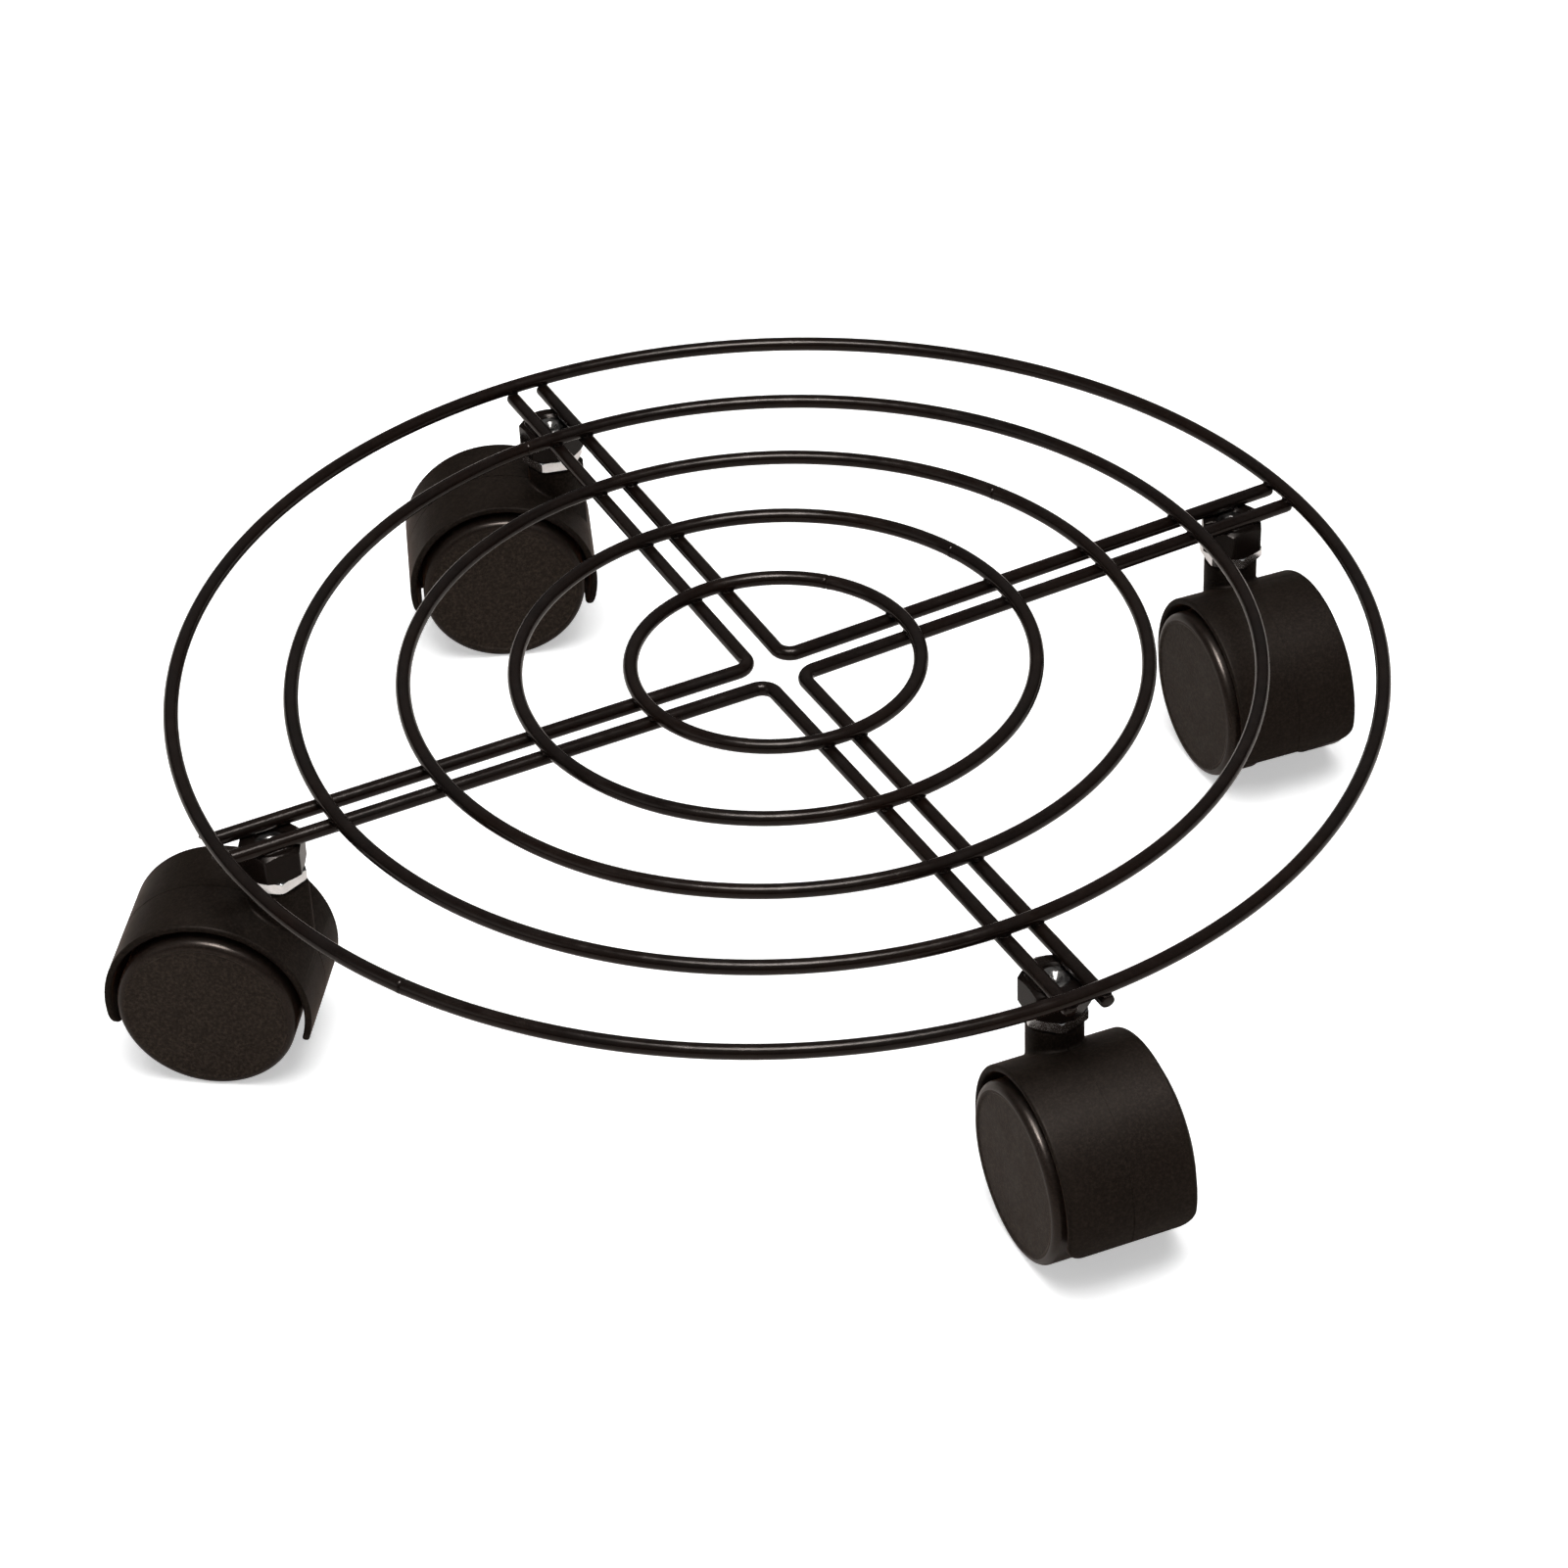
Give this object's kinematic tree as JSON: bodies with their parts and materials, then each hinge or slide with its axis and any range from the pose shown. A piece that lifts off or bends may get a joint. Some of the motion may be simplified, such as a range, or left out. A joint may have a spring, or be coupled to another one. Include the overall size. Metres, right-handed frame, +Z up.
{
  "type": "plant pot caddy",
  "caption": "Low round plant pot caddy of concentric wire rings on a double-wire cross, rolling on twin-wheel swivel casters with round plastic hoods.",
  "frame": {"origin": "on the floor below the common centre of the rings", "axes": "+Z up; the four double-wire arms point along +X, +Y, -X and -Y to within about a degree, with the front caster on -Y"},
  "size_m": [0.3771, 0.3903, 0.0791],
  "materials": {
    "painted_wire": "semi-gloss brown-black enamel on round steel wire",
    "painted_nut": "semi-gloss brown-black enamel on steel, worn at the corners",
    "zinc_steel": "bright zinc plate",
    "spring_steel": "oiled spring steel",
    "housing_plastic": "matte brown-black nylon with a fine moulded grain",
    "wheel_plastic": "matte brown-black nylon, polished at the edge of the tread"
  },
  "bodies": {
    "deck": {"ring_1_outer": "painted_wire", "ring_2": "painted_wire", "ring_3": "painted_wire", "ring_4": "painted_wire", "ring_5_inner": "painted_wire", "cross_wire_front_right": "painted_wire", "cross_wire_right_back": "painted_wire", "cross_wire_back_left": "painted_wire", "cross_wire_left_front": "painted_wire", "front_weld_nut": "painted_nut", "front_caster_stem": "zinc_steel", "front_caster_snap_ring": "spring_steel", "right_weld_nut": "painted_nut", "right_caster_stem": "zinc_steel", "right_caster_snap_ring": "spring_steel", "back_weld_nut": "painted_nut", "back_caster_stem": "zinc_steel", "back_caster_snap_ring": "spring_steel", "left_weld_nut": "painted_nut", "left_caster_stem": "zinc_steel", "left_caster_snap_ring": "spring_steel"},
    "front_caster": {"front_caster_housing": "housing_plastic", "front_caster_axle": "zinc_steel"},
    "front_wheel_a": {"front_caster_wheel_a": "wheel_plastic"},
    "front_wheel_b": {"front_caster_wheel_b": "wheel_plastic"},
    "right_caster": {"right_caster_housing": "housing_plastic", "right_caster_axle": "zinc_steel"},
    "right_wheel_a": {"right_caster_wheel_a": "wheel_plastic"},
    "right_wheel_b": {"right_caster_wheel_b": "wheel_plastic"},
    "back_caster": {"back_caster_housing": "housing_plastic", "back_caster_axle": "zinc_steel"},
    "back_wheel_a": {"back_caster_wheel_a": "wheel_plastic"},
    "back_wheel_b": {"back_caster_wheel_b": "wheel_plastic"},
    "left_caster": {"left_caster_housing": "housing_plastic", "left_caster_axle": "zinc_steel"},
    "left_wheel_a": {"left_caster_wheel_a": "wheel_plastic"},
    "left_wheel_b": {"left_caster_wheel_b": "wheel_plastic"}
  },
  "joints": [
    {"name": "front_swivel", "type": "hinge", "parent": "deck", "child": "front_caster", "pos_m": [0.0008, -0.1535, 0.057], "axis": [0, 0, 1], "continuous": true},
    {"name": "front_wheel_a_roll", "type": "hinge", "parent": "front_caster", "child": "front_wheel_a", "pos_m": [-0.00074, -0.17183, 0.025], "axis": [0.9965, -0.0837, 0], "continuous": true},
    {"name": "front_wheel_b_roll", "type": "hinge", "parent": "front_caster", "child": "front_wheel_b", "pos_m": [-0.00074, -0.17183, 0.025], "axis": [0.9965, -0.0837, 0], "continuous": true},
    {"name": "right_swivel", "type": "hinge", "parent": "deck", "child": "right_caster", "pos_m": [0.15347, 0.00321, 0.057], "axis": [0, 0, 1], "continuous": true},
    {"name": "right_wheel_a_roll", "type": "hinge", "parent": "right_caster", "child": "right_wheel_a", "pos_m": [0.15161, -0.01509, 0.025], "axis": [0.9949, -0.1011, 0], "continuous": true},
    {"name": "right_wheel_b_roll", "type": "hinge", "parent": "right_caster", "child": "right_wheel_b", "pos_m": [0.15161, -0.01509, 0.025], "axis": [0.9949, -0.1011, 0], "continuous": true},
    {"name": "back_swivel", "type": "hinge", "parent": "deck", "child": "back_caster", "pos_m": [0.00188, 0.15349, 0.057], "axis": [0, 0, 1], "continuous": true},
    {"name": "back_wheel_a_roll", "type": "hinge", "parent": "back_caster", "child": "back_wheel_a", "pos_m": [-0.01524, 0.16023, 0.025], "axis": [-0.3665, -0.9304, 0], "continuous": true},
    {"name": "back_wheel_b_roll", "type": "hinge", "parent": "back_caster", "child": "back_wheel_b", "pos_m": [-0.01524, 0.16023, 0.025], "axis": [-0.3665, -0.9304, 0], "continuous": true},
    {"name": "left_swivel", "type": "hinge", "parent": "deck", "child": "left_caster", "pos_m": [-0.15348, 0.00241, 0.057], "axis": [0, 0, 1], "continuous": true},
    {"name": "left_wheel_a_roll", "type": "hinge", "parent": "left_caster", "child": "left_wheel_a", "pos_m": [-0.16854, 0.01299, 0.025], "axis": [-0.575, -0.8181, 0], "continuous": true},
    {"name": "left_wheel_b_roll", "type": "hinge", "parent": "left_caster", "child": "left_wheel_b", "pos_m": [-0.16854, 0.01299, 0.025], "axis": [-0.575, -0.8181, 0], "continuous": true}
  ]
}
